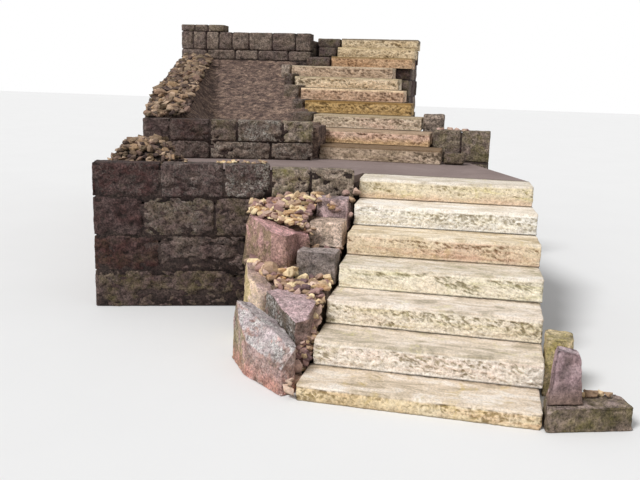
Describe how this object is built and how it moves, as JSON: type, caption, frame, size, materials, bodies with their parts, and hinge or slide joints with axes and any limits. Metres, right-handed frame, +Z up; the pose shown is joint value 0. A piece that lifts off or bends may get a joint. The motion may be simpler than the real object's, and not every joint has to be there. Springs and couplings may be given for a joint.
{
  "type": "outdoor stone steps",
  "caption": "Two flights of rock-faced sandstone block steps joined by a landing, with retaining walls, a boulder rockery and a raised bed.",
  "frame": {"origin": "middle of the bottom step's underside, at ground level", "axes": "+Y runs uphill along the flights, +X to the right along the treads seen from below, +Z up"},
  "size_m": [5.218, 7.1265, 2.5289],
  "materials": {
    "core_rubble": "rough coursed rubble",
    "dark_sandstone": "rock-faced, mossy",
    "landing_stone": "smooth",
    "loose_stone": "broken, angular",
    "ochre_sandstone": "rock-faced, flat worn tread",
    "pale_sandstone": "rock-faced, flat worn tread",
    "red_sandstone": "split, mossy"
  },
  "bodies": {
    "root": {"bed_cheek_stones": "dark_sandstone", "bed_edge_heap": "loose_stone", "foot_boulder": "red_sandstone", "head_cheek_stones": "dark_sandstone", "head_core": "core_rubble", "head_wall_course_1": "dark_sandstone", "head_wall_course_2": "dark_sandstone", "head_wall_course_3": "dark_sandstone", "inner_stone_high": "red_sandstone", "inner_stone_low": "red_sandstone", "inner_stone_middle": "red_sandstone", "landing_heap": "loose_stone", "landing_slab": "landing_stone", "left_boulder": "red_sandstone", "long_boulder": "red_sandstone", "low_block": "dark_sandstone", "low_side_block": "dark_sandstone", "lower_flight_core": "core_rubble", "lower_step_1": "pale_sandstone", "lower_step_2": "pale_sandstone", "lower_step_3": "pale_sandstone", "lower_step_4": "pale_sandstone", "lower_step_5": "pale_sandstone", "lower_step_6": "pale_sandstone", "lower_step_7": "pale_sandstone", "lower_wall_course_1": "dark_sandstone", "lower_wall_course_2": "dark_sandstone", "lower_wall_course_3": "dark_sandstone", "lower_wall_course_4": "dark_sandstone", "middle_boulder": "red_sandstone", "mossy_stone": "red_sandstone", "rockery_fill": "core_rubble", "side_blocks": "dark_sandstone", "side_core": "core_rubble", "standing_stone": "red_sandstone", "terrace_core": "core_rubble", "upper_bed_core": "core_rubble", "upper_flight_core": "core_rubble", "upper_side_block": "dark_sandstone", "upper_step_1": "ochre_sandstone", "upper_step_10": "ochre_sandstone", "upper_step_2": "ochre_sandstone", "upper_step_3": "ochre_sandstone", "upper_step_4": "ochre_sandstone", "upper_step_5": "ochre_sandstone", "upper_step_6": "ochre_sandstone", "upper_step_7": "ochre_sandstone", "upper_step_8": "ochre_sandstone", "upper_step_9": "ochre_sandstone", "upper_wall_course_1": "dark_sandstone", "upper_wall_course_2": "dark_sandstone"}
  },
  "joints": []
}
